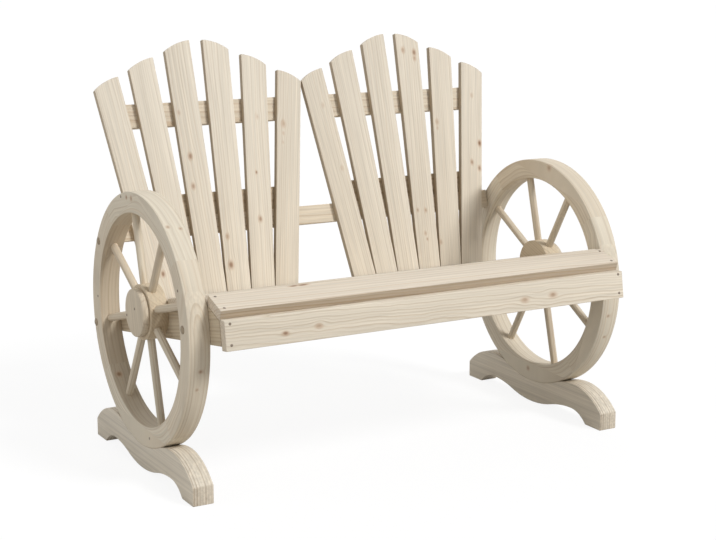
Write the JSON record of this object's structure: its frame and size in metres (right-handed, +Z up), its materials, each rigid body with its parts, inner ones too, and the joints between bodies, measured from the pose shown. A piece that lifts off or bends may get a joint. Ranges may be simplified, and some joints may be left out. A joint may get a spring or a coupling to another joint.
{
  "type": "garden bench",
  "caption": "Rustic wooden garden bench with spoked wagon wheels as its ends, a slatted sloping seat and fan-shaped slatted backs.",
  "frame": {"origin": "on the ground under the middle of the whole bench", "axes": "+X along the bench to the sitter's left, which is the right of the picture; +Y from front to back; +Z up"},
  "size_m": [1.096, 0.6668, 0.9005],
  "materials": {
    "softwood": "planed, unfinished pale softwood",
    "steel": "zinc-plated bolt"
  },
  "bodies": {
    "root": {"apron": "softwood", "front_seat_slat": "softwood", "left_fan_slat_1": "softwood", "left_fan_slat_2": "softwood", "left_fan_slat_3": "softwood", "left_fan_slat_4": "softwood", "left_fan_slat_5": "softwood", "left_fan_slat_6": "softwood", "left_felloe_1": "softwood", "left_felloe_2": "softwood", "left_felloe_3": "softwood", "left_felloe_4": "softwood", "left_foot": "softwood", "left_hub": "softwood", "left_hub_cap": "softwood", "left_lower_fan_rail": "softwood", "left_seat_rail": "softwood", "left_spokes": "softwood", "left_upper_fan_rail": "softwood", "long_back_rail": "softwood", "right_fan_slat_1": "softwood", "right_fan_slat_2": "softwood", "right_fan_slat_3": "softwood", "right_fan_slat_4": "softwood", "right_fan_slat_5": "softwood", "right_fan_slat_6": "softwood", "right_felloe_1": "softwood", "right_felloe_2": "softwood", "right_felloe_3": "softwood", "right_felloe_4": "softwood", "right_foot": "softwood", "right_hub": "softwood", "right_hub_cap": "softwood", "right_lower_fan_rail": "softwood", "right_seat_rail": "softwood", "right_spokes": "softwood", "right_upper_fan_rail": "softwood", "seat_slat_1": "softwood", "seat_slat_2": "softwood", "seat_slat_3": "softwood", "seat_slat_4": "softwood", "seat_slat_5": "softwood", "seat_slat_6": "softwood"}
  },
  "joints": []
}
